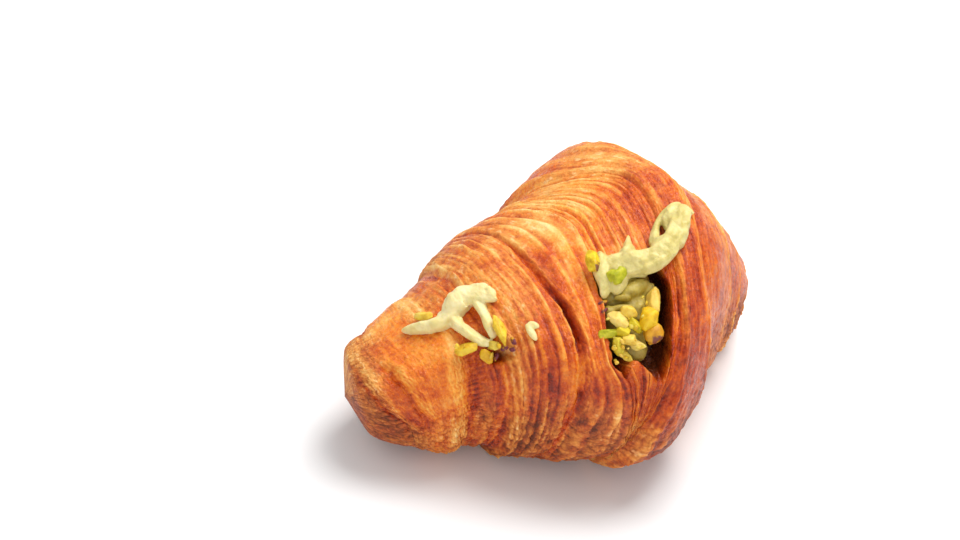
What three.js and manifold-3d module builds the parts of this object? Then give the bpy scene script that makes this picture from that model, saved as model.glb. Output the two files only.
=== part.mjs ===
// A filled butter croissant with pistachio cream, lying on its flat baked base.
// Millimetres, +Z up. The roll runs along X with its plump belly toward -Y and its two tips
// curving a little toward +Y. The origin is on the table, under the middle of its outer box.
//
// A place on the crust is given by two values: "along", the distance along the roll from its
// middle in millimetres, and "turn", the angle round the roll in degrees, where 0 is the base,
// 90 the belly side, 180 the top and 270 the back. "out" is a distance off the crust.

import * as THREE from 'three';
import Module from 'manifold-3d';

const wasm = await Module();
wasm.setup();

// ---------------------------------------------------------------- driving dimensions

const HALF_LENGTH = 76;
const BOW = 13;
const BOW_MIDDLE = 0.3;
const TIP_LIFT_LEFT = 7.2;
const SECTION_POWER = 2.5;
const SINK = 0.96;
const TIP_LEAN = 0.7;
const TIP_LEAN_FROM = 0.6;
const CENTRE_X = -0.8;
const CENTRE_Y = -10.1;
const GAP = 0.3;
// How sharply the steps, and anything proud of the crust, fade out at the two tips.
const STEP_FADE = 12;
const PROUD_FADE = 16;

// Girth of the roll: at this distance along it, the reach to the belly side, the reach to the
// back and the half height.
const GIRTH = [
  { along: -72, belly: 12.5, back: 13, half: 14 },
  { along: -65, belly: 18.5, back: 18, half: 17 },
  { along: -54, belly: 23, back: 25.5, half: 21.5 },
  { along: -44, belly: 27.5, back: 30, half: 26 },
  { along: -32, belly: 38, back: 34.5, half: 30.5 },
  { along: -18, belly: 51.5, back: 38, half: 32.5 },
  { along: -5, belly: 57, back: 41.5, half: 34.5 },
  { along: 9, belly: 49.5, back: 44.5, half: 38 },
  { along: 23, belly: 38, back: 43.5, half: 40.5 },
  { along: 36, belly: 29.5, back: 38, half: 35.5 },
  { along: 47, belly: 24, back: 29.5, half: 29 },
  { along: 57, belly: 19.5, back: 22.5, half: 23 },
  { along: 66, belly: 14, back: 15.5, half: 15.5 },
  { along: 72, belly: 9, back: 9, half: 8.5 },
];

// Edges where one wrap of the rolled dough ends on the wrap below. "course" lists how far along
// the roll the edge lies at each turn. "rise" is the height of its step, and "faces" the end of
// the roll that the cut layers look at. "columns" is how finely the skin before it is divided.
const WRAP_EDGES = [
  { rise: 1.6, faces: -1, columns: 3,
    course: [[0, -60], [81, -61.5], [106, -66.5], [130, -69.3], [156, -71.5], [200, -72.5], [270, -70]] },
  { rise: 1.6, faces: -1, columns: 3,
    course: [[0, -56], [95, -57.3], [121, -60.5], [151, -64.5], [180, -67], [270, -64]] },
  { rise: 1.6, faces: 1, columns: 4, course: [[0, -48], [90, -46.5], [135, -46.5], [180, -50], [270, -55]] },
  { rise: 1.8, faces: -1, columns: 4, course: [[0, -41], [90, -37.5], [135, -38.5], [180, -42], [270, -47]] },
  { rise: 2.4, faces: -1, columns: 5, course: [[0, -32], [90, -25.5], [145, -22], [180, -23], [270, -38]] },
  { rise: 3, faces: -1, columns: 7,
    course: [[0, -16], [72, -12.5], [106, -5], [141, 7], [180, 15], [211, 2], [270, -12]] },
  { rise: 2.6, faces: 1, columns: 6, course: [[0, 19], [100, 15.5], [130, 18], [150, 25], [180, 31], [270, 24]] },
  { rise: 2, faces: 1, columns: 4, course: [[0, 38], [90, 36], [140, 39], [180, 43], [270, 40]] },
  { rise: 1.8, faces: 1, columns: 4, course: [[0, 51], [90, 49], [140, 52], [180, 55], [270, 54]] },
  { rise: 1.2, faces: 1, columns: 3, course: [[0, 63], [90, 61], [140, 63], [180, 65], [270, 65]] },
];
const EDGE_RUN = 1.4;
const STEP_REACH = 10;
const STEP_BELOW = 0.65;
const TIP_COLUMNS = 5;
const ROWS = 36;

// The filling slit, torn open between the collar and the wrap to its left.
const SLIT = { along: -5.5, turn: 138, halfWide: 10.5, halfTurn: 24, slant: 6.5, deep: 17, undercut: 5, mouth: 8 };
const SLIT_POWER = 0.75;
// The small hole left in the belly by the filling nozzle.
const NOZZLE_HOLE = { along: -39, turn: 128, radius: 3.2, deep: 6 };

// ---------------------------------------------------------------- curves

const DEGREE = Math.PI / 180;

/** A smooth curve through rising points that never overshoots between them (a monotone cubic). */
function curveThrough(points) {
  const x = points.map((p) => p[0]);
  const y = points.map((p) => p[1]);
  const slope = x.slice(1).map((_, i) => (y[i + 1] - y[i]) / (x[i + 1] - x[i]));
  const tangent = y.map((_, i) => {
    if (i === 0) return slope[0];
    if (i === y.length - 1) return slope[i - 1];
    const product = slope[i - 1] * slope[i];
    return product <= 0 ? 0 : (2 * product) / (slope[i - 1] + slope[i]);
  });
  return (at) => {
    const clamped = Math.min(Math.max(at, x[0]), x[x.length - 1]);
    let i = 0;
    while (i < x.length - 2 && clamped > x[i + 1]) i += 1;
    const width = x[i + 1] - x[i];
    const t = (clamped - x[i]) / width;
    const a = (1 + 2 * t) * (1 - t) ** 2;
    const b = t * (1 - t) ** 2;
    const c = t * t * (3 - 2 * t);
    const d = t * t * (t - 1);
    return a * y[i] + b * width * tangent[i] + c * y[i + 1] + d * width * tangent[i + 1];
  };
}

/** The same, for points given round the full turn: the curve closes on itself. */
function curveRound(points) {
  const before = points.map(([turn, value]) => [turn - 360, value]);
  const after = points.map(([turn, value]) => [turn + 360, value]);
  const through = curveThrough([...before, ...points, ...after]);
  return (turn) => through(((turn % 360) + 360) % 360);
}

const girthOf = (side, tip) => curveThrough([
  [-HALF_LENGTH, tip * GIRTH[0][side]],
  ...GIRTH.map((g) => [g.along, g[side]]),
  [HALF_LENGTH, tip * GIRTH[GIRTH.length - 1][side]],
]);
const reachBelly = girthOf('belly', 0);
const reachBack = girthOf('back', 0);
const halfHeight = girthOf('half', 0);
const middleHeight = girthOf('half', 0.8);
const wrapEdges = WRAP_EDGES.map((edge) => ({ ...edge, at: curveRound(edge.course) }));

// ---------------------------------------------------------------- the crust

/** How far the crust stands out of the plain roll: each wrap is proud at its own cut edge. */
function wrapStep(along, turn) {
  let height = 0;
  for (const edge of wrapEdges) {
    const past = (along - edge.at(turn)) * -edge.faces;
    const risen = THREE.MathUtils.smoothstep(past, -EDGE_RUN / 2, EDGE_RUN / 2);
    height += edge.rise * (risen - STEP_BELOW) * Math.exp(-((past / STEP_REACH) ** 2));
  }
  const tip = 1 - (Math.abs(along) / HALF_LENGTH) ** STEP_FADE;
  return height * Math.max(tip, 0);
}

/** A point on the crust, or "out" millimetres off it. */
function crust(along, turn, out = 0) {
  const u = along / HALF_LENGTH;
  const angle = turn * DEGREE;
  const y = BOW * (u * u - BOW_MIDDLE);
  const heading = Math.atan2(2 * BOW * u, HALF_LENGTH);
  let side = -Math.sin(angle);
  let rise = -Math.cos(angle);
  const corner = (Math.abs(side) ** SECTION_POWER + Math.abs(rise) ** SECTION_POWER) ** (-1 / SECTION_POWER);
  side *= corner;
  rise *= corner;
  const proud = wrapStep(along, turn) + out;
  const tipWard = Math.max(1 - Math.abs(u) ** PROUD_FADE, 0);
  const across = side * ((side < 0 ? reachBelly(along) : reachBack(along)) + proud * tipWard);
  const up = rise * (halfHeight(along) + proud * tipWard);
  const lift = u < 0 ? TIP_LIFT_LEFT * u ** 4 : 0;
  const lean = -TIP_LEAN * THREE.MathUtils.clamp(-u - TIP_LEAN_FROM, 0, 1) * up;
  return new THREE.Vector3(
    along - across * Math.sin(heading) + lean - CENTRE_X,
    y + across * Math.cos(heading) - CENTRE_Y,
    Math.max(middleHeight(along) * SINK + lift + up, 0),
  );
}

/** Local axes at a place on the crust: along the roll, round it and straight out. */
function axesAt(along, turn) {
  const here = crust(along, turn);
  const ahead = crust(along + 1, turn).sub(crust(along - 1, turn)).normalize();
  const round = crust(along, turn + 1).sub(crust(along, turn - 1)).normalize();
  const outward = new THREE.Vector3().crossVectors(ahead, round).normalize();
  return { here, ahead, round, outward };
}

// ---------------------------------------------------------------- solids

/** A closed skin over rings of points, with one point at each end: ring(i, j) gives point j of ring i. */
function closedSkin(rings, sides, ring, first, last) {
  const points = [first];
  for (let i = 0; i < rings; i += 1) {
    for (let j = 0; j < sides; j += 1) points.push(ring(i, j));
  }
  points.push(last);
  const at = (i, j) => 1 + i * sides + (j % sides);
  const end = points.length - 1;
  const faces = [];
  for (let j = 0; j < sides; j += 1) {
    faces.push([0, at(0, j), at(0, j + 1)], [end, at(rings - 1, j + 1), at(rings - 1, j)]);
    for (let i = 0; i < rings - 1; i += 1) {
      faces.push([at(i, j), at(i + 1, j), at(i, j + 1)], [at(i + 1, j), at(i + 1, j + 1), at(i, j + 1)]);
    }
  }
  return solidOf(points, faces);
}

/** A solid from points and faces, turned the right way out. */
function solidOf(points, faces) {
  let volume = 0;
  for (const [a, b, c] of faces) {
    volume += points[a].dot(new THREE.Vector3().crossVectors(points[b], points[c]));
  }
  const outward = volume < 0 ? faces.map(([a, b, c]) => [a, c, b]) : faces;
  return new wasm.Manifold(new wasm.Mesh({
    numProp: 3,
    vertProperties: new Float32Array(points.flatMap((p) => [p.x, p.y, p.z])),
    triVerts: new Uint32Array(outward.flat()),
  }));
}

/** Distances along the roll, for one turn round it, where the crust's rings lie. */
function ringPlaces(turn) {
  const places = [];
  const spread = (from, to, count) => {
    for (let k = 1; k <= count; k += 1) places.push(THREE.MathUtils.lerp(from, to, k / (count + 1)));
  };
  let from = -HALF_LENGTH;
  for (const edge of wrapEdges) {
    const middle = edge.at(turn);
    spread(from, middle - EDGE_RUN / 2, edge.columns);
    places.push(middle - EDGE_RUN / 2, middle + EDGE_RUN / 2);
    from = middle + EDGE_RUN / 2;
  }
  spread(from, HALF_LENGTH, TIP_COLUMNS);
  return places;
}

/** The whole roll, grown by "grow" all over. */
function roll(grow) {
  const places = [];
  for (let j = 0; j < ROWS; j += 1) places.push(ringPlaces((360 * j) / ROWS));
  const first = crust(-HALF_LENGTH, 180);
  const last = crust(HALF_LENGTH, 180);
  const ring = (i, j) => crust(places[j][i], (360 * j) / ROWS, grow);
  return closedSkin(places[0].length, ROWS, ring, first, last);
}

/** The hollow of the slit, smaller by "shrink": a lens that leans under the collar as it goes in. */
function slitHollow(shrink, rings = 12, sides = 18) {
  const place = (x, y, z) => {
    const wide = (SLIT.halfWide - shrink) * x;
    const into = Math.max(-z, 0);
    const out = z < 0 ? z * (SLIT.deep - shrink) : z * SLIT.mouth;
    const along = SLIT.along + wide + SLIT.slant * y + SLIT.undercut * into;
    return crust(along, SLIT.turn + SLIT.halfTurn * y, out);
  };
  const ring = (i, j) => {
    const polar = (Math.PI * (i + 1)) / (rings + 1);
    const round = (2 * Math.PI * j) / sides;
    const thick = Math.sin(polar) ** SLIT_POWER;
    return place(thick * Math.cos(round), -Math.cos(polar), thick * Math.sin(round));
  };
  return closedSkin(rings, sides, ring, place(0, -1, 0), place(0, 1, 0));
}

/** A lump with rounded corners at a place on the crust: half sizes along, round and out, then spun. */
function lump({ along, turn, out, half, spin = 0, power = 1, sides = 8 }) {
  const { here, ahead, round, outward } = axesAt(along, turn);
  const frame = new THREE.Matrix4().makeBasis(ahead, round, outward);
  frame.multiply(new THREE.Matrix4().makeRotationZ(spin * DEGREE));
  const centre = here.clone().addScaledVector(outward, out);
  const bend = (value) => Math.sign(value) * Math.abs(value) ** power;
  const place = (x, y, z) => new THREE.Vector3(bend(x) * half[0], bend(y) * half[1], bend(z) * half[2])
    .applyMatrix4(frame).add(centre);
  const rings = sides - 3;
  const ring = (i, j) => {
    const polar = (Math.PI * (i + 1)) / (rings + 1);
    const angle = (2 * Math.PI * (j + 0.5)) / sides;
    return place(-Math.cos(polar), Math.sin(polar) * Math.cos(angle), Math.sin(polar) * Math.sin(angle));
  };
  return closedSkin(rings, sides, ring, place(-1, 0, 0), place(1, 0, 0));
}

/** A rope of cream over the crust: its course lists places with their radius. */
function rope(course, sides = 8) {
  const path = new THREE.CatmullRomCurve3(course.map(([along, turn, out]) => crust(along, turn, out)));
  const radius = curveThrough(course.map(([, , , r], i) => [i / (course.length - 1), r]));
  const rings = course.length * 2;
  const { normals, binormals } = path.computeFrenetFrames(rings + 1, false);
  const ring = (i, j) => {
    const t = (i + 0.5) / rings;
    const angle = (2 * Math.PI * j) / sides;
    const taper = Math.sqrt(Math.max(1 - (2 * t - 1) ** 6, 0));
    return path.getPoint(t)
      .addScaledVector(normals[i], radius(t) * taper * Math.cos(angle))
      .addScaledVector(binormals[i], radius(t) * taper * Math.sin(angle));
  };
  return closedSkin(rings, sides, ring, path.getPoint(0), path.getPoint(1));
}

// ---------------------------------------------------------------- the pieces

// Chopped pistachios stuck to the cream in the slit, front ones first.
const SLIT_PISTACHIOS = [
  { along: -12.5, turn: 139, out: 0.2, half: [2.6, 3.1, 2.4], spin: 8 },
  { along: -5.6, turn: 135.5, out: 0.6, half: [3.2, 3.4, 2.8], spin: 20 },
  { along: -5.2, turn: 130.5, out: -0.9, half: [3.2, 2.6, 2.4], spin: -20 },
  { along: -2.2, turn: 139.5, out: 0, half: [2.6, 3.7, 2.4], spin: -20 },
  { along: -9.4, turn: 140.4, out: 0.3, half: [2.1, 2.3, 2], spin: 25 },
  { along: -15.8, turn: 135.2, out: -0.2, half: [3.2, 1.5, 1.7], spin: 4 },
  { along: -12.6, turn: 134.5, out: 0.2, half: [2, 2, 2], spin: -15 },
  { along: -9.2, turn: 136, out: -0.6, half: [2, 3, 2], spin: 15 },
  { along: -14.6, turn: 130.2, out: -0.6, half: [1.5, 3, 1.7], spin: -16 },
  { along: -11.8, turn: 131.2, out: 0.2, half: [2, 2.1, 1.8], spin: 30 },
  { along: -10.2, turn: 128.6, out: -1, half: [2.2, 1.6, 1.1], spin: -35 },
  { along: -13.9, turn: 126.4, out: -1.6, half: [1.4, 2.8, 1.2], spin: 20 },
  { along: -10.6, turn: 158.2, out: 4.6, half: [1.9, 4.6, 1.9], spin: -17 },
  { along: -7.8, turn: 151.2, out: 4.6, half: [2.9, 2.5, 1.9], spin: 10 },
];

// Chopped pistachios on the smear of cream that came out of the nozzle hole.
const SIDE_PISTACHIOS = [
  { along: -51.6, turn: 173.5, out: 1.8, half: [3.9, 1.5, 1.3], spin: -50 },
  { along: -46, turn: 138, out: 1.9, half: [3.7, 1.9, 1.7], spin: -15 },
  { along: -41.5, turn: 129.5, out: 1.7, half: [1.7, 2.4, 1.5], spin: 12 },
  { along: -37.5, turn: 141, out: 2, half: [1.5, 4.8, 1.5], spin: 5 },
  { along: -39.3, turn: 134.5, out: 1.8, half: [2.4, 1.4, 1.3], spin: 0 },
];

// Cream in the slit: [along, turn, out, radius] down the course of each rope, then lumps.
const SLIT_ROPES = [
  [[-8.4, 152.5, 0.8, 3.4], [-5, 154, 2, 4], [-1.5, 152.3, 2.4, 3.9], [1.5, 150.3, 2.8, 3.6],
    [4.5, 148.8, 3, 3.6], [7.5, 148.2, 3, 3.5], [10.8, 148.7, 2.8, 3.3], [14, 150, 2.2, 3],
    [16.5, 152, 1.4, 2.6], [18.5, 150.5, 0.9, 2.1], [20.8, 146.5, 0.6, 0.8]],
  [[11, 150.5, 1.6, 2.3], [14, 154, 0.8, 2.3], [16.6, 155.5, 0.5, 1.9], [19.5, 153.5, 0.3, 1.1]],
  [[-6.2, 163, 0.6, 1.5], [-8, 160, 1.6, 2.4], [-9.8, 156.5, 2.2, 2.7], [-11.2, 152.5, 1.8, 2.3],
    [-12.3, 149.5, 1, 1.6], [-12.9, 147.5, 0.6, 0.9]],
  [[-4, 156, 2, 3.2], [-6.4, 153.5, 2.2, 3], [-8.6, 150.5, 1.6, 2.4], [-10, 147.5, 0.9, 1.6]],
  [[-9.5, 156.5, 1.6, 2.3], [-6.5, 157, 2, 2.6], [-3, 155, 2.2, 3]],
  [[-4, 153.5, 2.2, 3.4], [-2.4, 156, 2.2, 2.8], [-0.6, 158.2, 2, 2], [1, 160.2, 1.8, 1],
    [2.2, 161.6, 1.7, 0.4]],
  [[-2.5, 149.5, 3.6, 2.1], [1.5, 147.8, 4.2, 1.9], [5.5, 146.2, 4.2, 1.7], [9, 146, 3.6, 1.4]],
  [[5, 151, 2, 2.1], [6.8, 153.5, 1.3, 1.5], [9, 155.5, 0.8, 1], [11.6, 157, 0.5, 1],
    [14.5, 156.5, 0.6, 1.4], [17, 153.5, 1, 1.7]],
];
const SLIT_LUMPS = [
  { along: -5.5, turn: 153, out: -8, half: [9.5, 10, 11.5], sides: 12 },
  { along: -5, turn: 145, out: -8.5, half: [8, 8.5, 9], sides: 12 },
  { along: -11.5, turn: 136, out: -7.5, half: [6.5, 9.5, 6], sides: 12 },
  { along: -4.5, turn: 146, out: -2, half: [5.4, 3.4, 3.4], spin: -12, sides: 10 },
];

// Cream on the belly side of the left end.
const SIDE_ROPES = [
  [[-58, 177, 0.4, 1], [-54.8, 170, 0.8, 1.9], [-51.8, 164.5, 1.1, 2.3], [-48.6, 161.5, 1.2, 2.9],
    [-45, 164, 1.2, 3.2]],
  [[-48, 160.5, 0.9, 3], [-45, 167, 1.4, 4.2], [-42, 168.5, 1.2, 4], [-39.4, 163, 1, 2.4],
    [-36.2, 157, 0.6, 1.5]],
  [[-46.8, 160, 1, 2.8], [-46.4, 153, 1.1, 2.2], [-44.8, 146, 1.3, 1.8], [-42.5, 138.5, 1.3, 1.7],
    [-40, 135.5, 1.3, 1.2]],
  [[-40.6, 166, 0.6, 1.9], [-40.2, 158, 0.9, 1.7], [-40, 150, 0.9, 1.5], [-40, 143, 1.2, 1.6],
    [-39.8, 138, 1.2, 1.2]],
];
const FLECK = { along: -31.6, turn: 138, out: 0.6, half: [1.7, 3.2, 1.3], spin: 12 };

const slit = slitHollow(0);
const nozzleHole = lump({
  ...NOZZLE_HOLE, out: 0, half: [NOZZLE_HOLE.radius, NOZZLE_HOLE.radius, NOZZLE_HOLE.deep], sides: 10,
});
const bread = roll(0).subtract(slit).subtract(nozzleHole);

/** The bread with a clearance all over, so that whatever lies on it keeps its gap. */
const clearOfBread = roll(GAP).subtract(slitHollow(GAP)).subtract(nozzleHole);

/** Chopped pieces, each cut clear of the bread and of the pieces before it. */
function choppedPieces(list, name) {
  const cleared = [];
  return list.map((piece, index) => {
    let solid = lump({ ...piece, power: 0.8 }).subtract(clearOfBread);
    for (const other of cleared) solid = solid.subtract(other);
    cleared.push(lump({ ...piece, power: 0.8, half: piece.half.map((size) => size + GAP) }));
    return { name: `${name}_${index + 1}`, solid, cleared: cleared[index] };
  });
}

const slitPistachios = choppedPieces(SLIT_PISTACHIOS, 'pistachio_slit');
const sidePistachios = choppedPieces(SIDE_PISTACHIOS, 'pistachio_side');

/** Cream: ropes and lumps melted together, cut clear of the bread and of the pistachios in it. */
function cream(ropes, lumps, pistachios) {
  const parts = [...ropes.map((course) => rope(course)), ...lumps.map((piece) => lump(piece))];
  let solid = parts.reduce((joined, part) => joined.add(part));
  solid = solid.subtract(clearOfBread);
  for (const piece of pistachios) solid = solid.subtract(piece.cleared);
  return solid;
}

// ---------------------------------------------------------------- the object

const croissant = new THREE.Group();

/** Adds a solid as a named mesh in its own colour. */
function addPiece(name, solid, colour, roughness) {
  const mesh = solid.getMesh();
  const geometry = new THREE.BufferGeometry();
  geometry.setAttribute('position', new THREE.BufferAttribute(mesh.vertProperties, 3));
  geometry.setIndex(new THREE.BufferAttribute(mesh.triVerts, 1));
  geometry.computeVertexNormals();
  const piece = new THREE.Mesh(geometry, new THREE.MeshStandardMaterial({ color: colour, roughness, metalness: 0 }));
  piece.name = name;
  croissant.add(piece);
}

addPiece('bread', bread, 0xc9702f, 0.55);
addPiece('cream_slit', cream(SLIT_ROPES, SLIT_LUMPS, slitPistachios), 0xe1dc9a, 0.5);
addPiece('cream_side', cream(SIDE_ROPES, [], sidePistachios), 0xefdc9c, 0.5);
addPiece('cream_fleck', lump({ ...FLECK, power: 0.9 }).subtract(clearOfBread), 0xdcb383, 0.6);
for (const piece of [...slitPistachios, ...sidePistachios]) {
  addPiece(piece.name, piece.solid, 0xd9c83a, 0.6);
}

export default croissant;
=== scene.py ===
import math

import bpy
import numpy as np
from mathutils import Matrix, Vector


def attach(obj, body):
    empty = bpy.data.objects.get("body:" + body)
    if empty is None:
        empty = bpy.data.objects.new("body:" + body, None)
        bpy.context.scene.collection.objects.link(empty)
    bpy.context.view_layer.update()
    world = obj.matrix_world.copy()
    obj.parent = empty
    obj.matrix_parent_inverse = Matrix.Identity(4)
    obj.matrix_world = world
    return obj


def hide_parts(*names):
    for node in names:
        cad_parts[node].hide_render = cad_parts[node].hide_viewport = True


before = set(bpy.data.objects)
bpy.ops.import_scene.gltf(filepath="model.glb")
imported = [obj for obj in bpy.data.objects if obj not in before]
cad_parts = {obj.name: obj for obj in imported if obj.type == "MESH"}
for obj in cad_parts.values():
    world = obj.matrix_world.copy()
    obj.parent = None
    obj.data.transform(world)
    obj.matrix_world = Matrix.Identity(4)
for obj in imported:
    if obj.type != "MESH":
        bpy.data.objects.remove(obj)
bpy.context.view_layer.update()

# A filled croissant. Places on its crust are given as in the CAD: "along" the roll from its middle
# in millimetres, "turn" round it in degrees (0 base, 90 belly side, 180 top, 270 back) and "out"
# off the crust in millimetres. Shapes are worked out in millimetres and stored in metres.

MM = 0.001
DEGREE = math.pi / 180

# ------------------------------------------------------------------ curves


def curve_through(points):
    """A monotone cubic through rising points: between two of them it never overshoots."""
    x, y = np.array(points, float).T
    slope = np.diff(y) / np.diff(x)
    product = slope[:-1] * slope[1:]
    same_way = product > 0
    total = np.where(same_way, slope[:-1] + slope[1:], 1.0)
    inner = np.where(same_way, 2 * product / total, 0.0)
    tangent = np.concatenate([slope[:1], inner, slope[-1:]])

    def at(value):
        clamped = np.clip(value, x[0], x[-1])
        i = np.clip(np.searchsorted(x, clamped, side="right") - 1, 0, len(x) - 2)
        width = x[i + 1] - x[i]
        t = (clamped - x[i]) / width
        rest = (1 + 2 * t) * (1 - t) ** 2 * y[i] + t * t * (3 - 2 * t) * y[i + 1]
        return rest + width * (t * (1 - t) ** 2 * tangent[i] + t * t * (t - 1) * tangent[i + 1])

    return at


def curve_round(points):
    """The same through points given round one full turn, closing on itself."""
    ring = [(turn + shift, value) for shift in (-360, 0, 360) for turn, value in points]
    through = curve_through(ring)
    return lambda turn: through(np.mod(turn, 360))


# ------------------------------------------------------------------ driving dimensions

HALF_LENGTH = 76
BOW = 13
BOW_MIDDLE = 0.3
TIP_LIFT_LEFT = 7.2
SECTION_POWER = 2.5
SINK = 0.96
TIP_LEAN = 0.7
TIP_LEAN_FROM = 0.6
CENTRE_X = -0.8
CENTRE_Y = -10.1

# Along the roll: reach to the belly side, reach to the back, half height.
GIRTH = [
    (-72, 12.5, 13, 14), (-65, 18.5, 18, 17), (-54, 23, 25.5, 21.5), (-44, 27.5, 30, 26),
    (-32, 38, 34.5, 30.5), (-18, 51.5, 38, 32.5), (-5, 57, 41.5, 34.5), (9, 49.5, 44.5, 38),
    (23, 38, 43.5, 40.5), (36, 29.5, 38, 35.5), (47, 24, 29.5, 29), (57, 19.5, 22.5, 23),
    (66, 14, 15.5, 15.5), (72, 9, 9, 8.5),
]


def wrap_edge(rise, faces, run, gully, gully_width, course, strength):
    """One edge of the rolled dough: its step, the way its cut layers face, the run of the step, and
    the gully at its foot, coloured dark red partly as painted shade and partly as glaze baked darker there.
    The course lists how far along the roll it lies at each turn, and the strength how plain it is there."""
    return dict(rise=rise, faces=faces, run=run, gully=gully, gully_width=gully_width,
                at=curve_round(course), strength=curve_round(strength))


WRAP_EDGES = [
    # the two short creases of the left tip
    wrap_edge(1.6, -1, 2.0, 0.6, 0.6,
              [(0, -60), (81, -61.5), (91, -63.5), (106, -66.5), (130, -69.3), (156, -71.5),
               (200, -72.5), (270, -70)],
              [(0, 0.3), (75, 0.4), (90, 1.2), (130, 1.3), (156, 0.7), (180, 0.1), (270, 0.6)]),
    wrap_edge(1.6, -1, 2.2, 0.7, 0.7,
              [(0, -56), (95, -57.3), (109, -59.2), (121, -60.5), (136, -62.3), (151, -64.5),
               (180, -67), (270, -64)],
              [(0, 0.2), (90, 0.3), (105, 1.2), (135, 1.1), (152, 0.5), (165, 0.1), (270, 0.9)]),
    # the right rim of the left bulb, which stands over the valley beside it
    wrap_edge(1.6, 1, 4.0, 0.3, 1.2, [(0, -48), (90, -46.5), (135, -46.5), (180, -50), (270, -55)],
              [(0, 0.8), (60, 1.0), (125, 1.0), (150, 0.3), (180, 0.25), (225, 0.5), (270, 0.9)]),
    # the beaded edge beyond the valley
    wrap_edge(1.8, -1, 1.8, 0.9, 1.5, [(0, -41), (90, -37.5), (135, -38.5), (180, -42), (270, -47)],
              [(0, 0.8), (60, 1.0), (125, 1.0), (150, 0.5), (200, 0.5), (270, 0.9)]),
    # the long edge over the middle, with the deep red gully
    wrap_edge(0.8, -1, 1.0, 1.35, 0.75, [(0, -32), (90, -25.5), (145, -22), (180, -23), (270, -38)],
              [(0, 0.7), (70, 0.9), (100, 1.1), (150, 1.1), (175, 0.8), (200, 0.5), (270, 0.8)]),
    # both edges of the collar
    wrap_edge(3.4, -1, 2.6, 0.7, 0.9,
              [(0, -16), (72, -12.5), (106, -5), (141, 7), (180, 15), (211, 2), (270, -12)],
              [(0, 0.8), (60, 0.9), (130, 0.8), (150, 0.2), (200, 0.2), (230, 0.6), (270, 0.9)]),
    wrap_edge(2.6, 1, 4.4, 0.35, 1.2, [(0, 19), (100, 15.5), (130, 18), (150, 25), (180, 31), (270, 24)],
              [(0, 0.9), (80, 0.9), (130, 1.0), (180, 0.7), (270, 1.0)]),
    # the right end
    wrap_edge(2.0, 1, 3.4, 0.8, 1.0, [(0, 38), (90, 36), (140, 39), (180, 43), (270, 40)],
              [(0, 0.8), (90, 0.8), (180, 0.8), (270, 1.0)]),
    wrap_edge(1.8, 1, 3.0, 0.7, 0.8, [(0, 51), (90, 49), (140, 52), (180, 55), (270, 54)],
              [(0, 0.8), (90, 1.0), (180, 0.8), (270, 1.0)]),
    wrap_edge(1.2, 1, 2.4, 0.6, 0.7, [(0, 63), (90, 61), (140, 63), (180, 65), (270, 65)],
              [(0, 0.6), (90, 1.0), (180, 0.7), (270, 1.0)]),
]
# How far past its rise a step sinks back, and how much of it lies below the plain roll.
STEP_REACH = 10
STEP_BELOW = 0.65

# The slit runs between two edges, given as places along the roll at each turn, from its foot on the
# belly side to its head under the cream.
SLIT = dict(head=164, deep=17, undercut=7)
SLIT_LEFT = [(0, -14), (90, -14), (112, -14.6), (119, -16), (124, -17), (132, -16.4), (144, -14.2),
             (152, -13), (160, -10.8), (168, -8.6), (180, -6), (225, -18), (270, -27)]
SLIT_RIGHT = [(0, -13), (90, -11), (106, -6.6), (112, -5.2), (118, -3), (126, -0.6), (131, 1.8),
              (138, 4.6), (144, 4.2), (150, 0), (155, -5), (162, -7.5), (168, -7.4), (180, -4),
              (225, -16), (270, -25)]
# The ragged foot of the slit: its turn at each place along the roll.
SLIT_FOOT = [(-22, 123), (-18, 120), (-16.4, 114.5), (-15.4, 114), (-14.2, 119.5), (-12.4, 121.5),
             (-10.2, 119.5), (-8.8, 115), (-7.2, 109.5), (-5.8, 110), (-4, 115), (0, 120), (6, 124)]
NOZZLE_HOLE = dict(along=-39, turn=128, radius=3.2, deep=6)

# ------------------------------------------------------------------ steps, bells and noise


def smooth_step(value, low, high):
    """0 below low, 1 above high, and an even S between."""
    t = np.clip((value - low) / (high - low), 0, 1)
    return t * t * (3 - 2 * t)


def bump_of(value, width):
    """A bell: 1 where value is 0, falling off over width."""
    return np.exp(-((value / width) ** 2))


NOISE_TABLE = 512
CELLS_TABLE = 256
SPACE_TABLE = 64


def noise_plane(x, y, seed):
    """Value noise from 0 to 1 over a plane: random numbers on whole x and y, eased between."""
    table = np.random.default_rng(seed).random((NOISE_TABLE, NOISE_TABLE))
    xi, yi = np.floor(x).astype(int), np.floor(y).astype(int)
    fx, fy = x - xi, y - yi
    fx, fy = fx * fx * (3 - 2 * fx), fy * fy * (3 - 2 * fy)

    def corner(i, j):
        return table[np.mod(i, NOISE_TABLE), np.mod(j, NOISE_TABLE)]

    low = corner(xi, yi) * (1 - fx) + corner(xi + 1, yi) * fx
    high = corner(xi, yi + 1) * (1 - fx) + corner(xi + 1, yi + 1) * fx
    return low * (1 - fy) + high * fy


def cells_plane(x, y, seed):
    """Distances to the nearest and second nearest of points scattered one to each unit cell."""
    table = np.random.default_rng(seed).random((CELLS_TABLE, CELLS_TABLE, 2))
    xi, yi = np.floor(x).astype(int), np.floor(y).astype(int)
    nearest, second = np.full(x.shape, 9.0), np.full(x.shape, 9.0)
    for dx in (-1, 0, 1):
        for dy in (-1, 0, 1):
            spot = table[np.mod(xi + dx, CELLS_TABLE), np.mod(yi + dy, CELLS_TABLE)]
            away = np.hypot(xi + dx + spot[..., 0] - x, yi + dy + spot[..., 1] - y)
            second = np.minimum(second, np.maximum(nearest, away))
            nearest = np.minimum(nearest, away)
    return nearest, second


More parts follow.
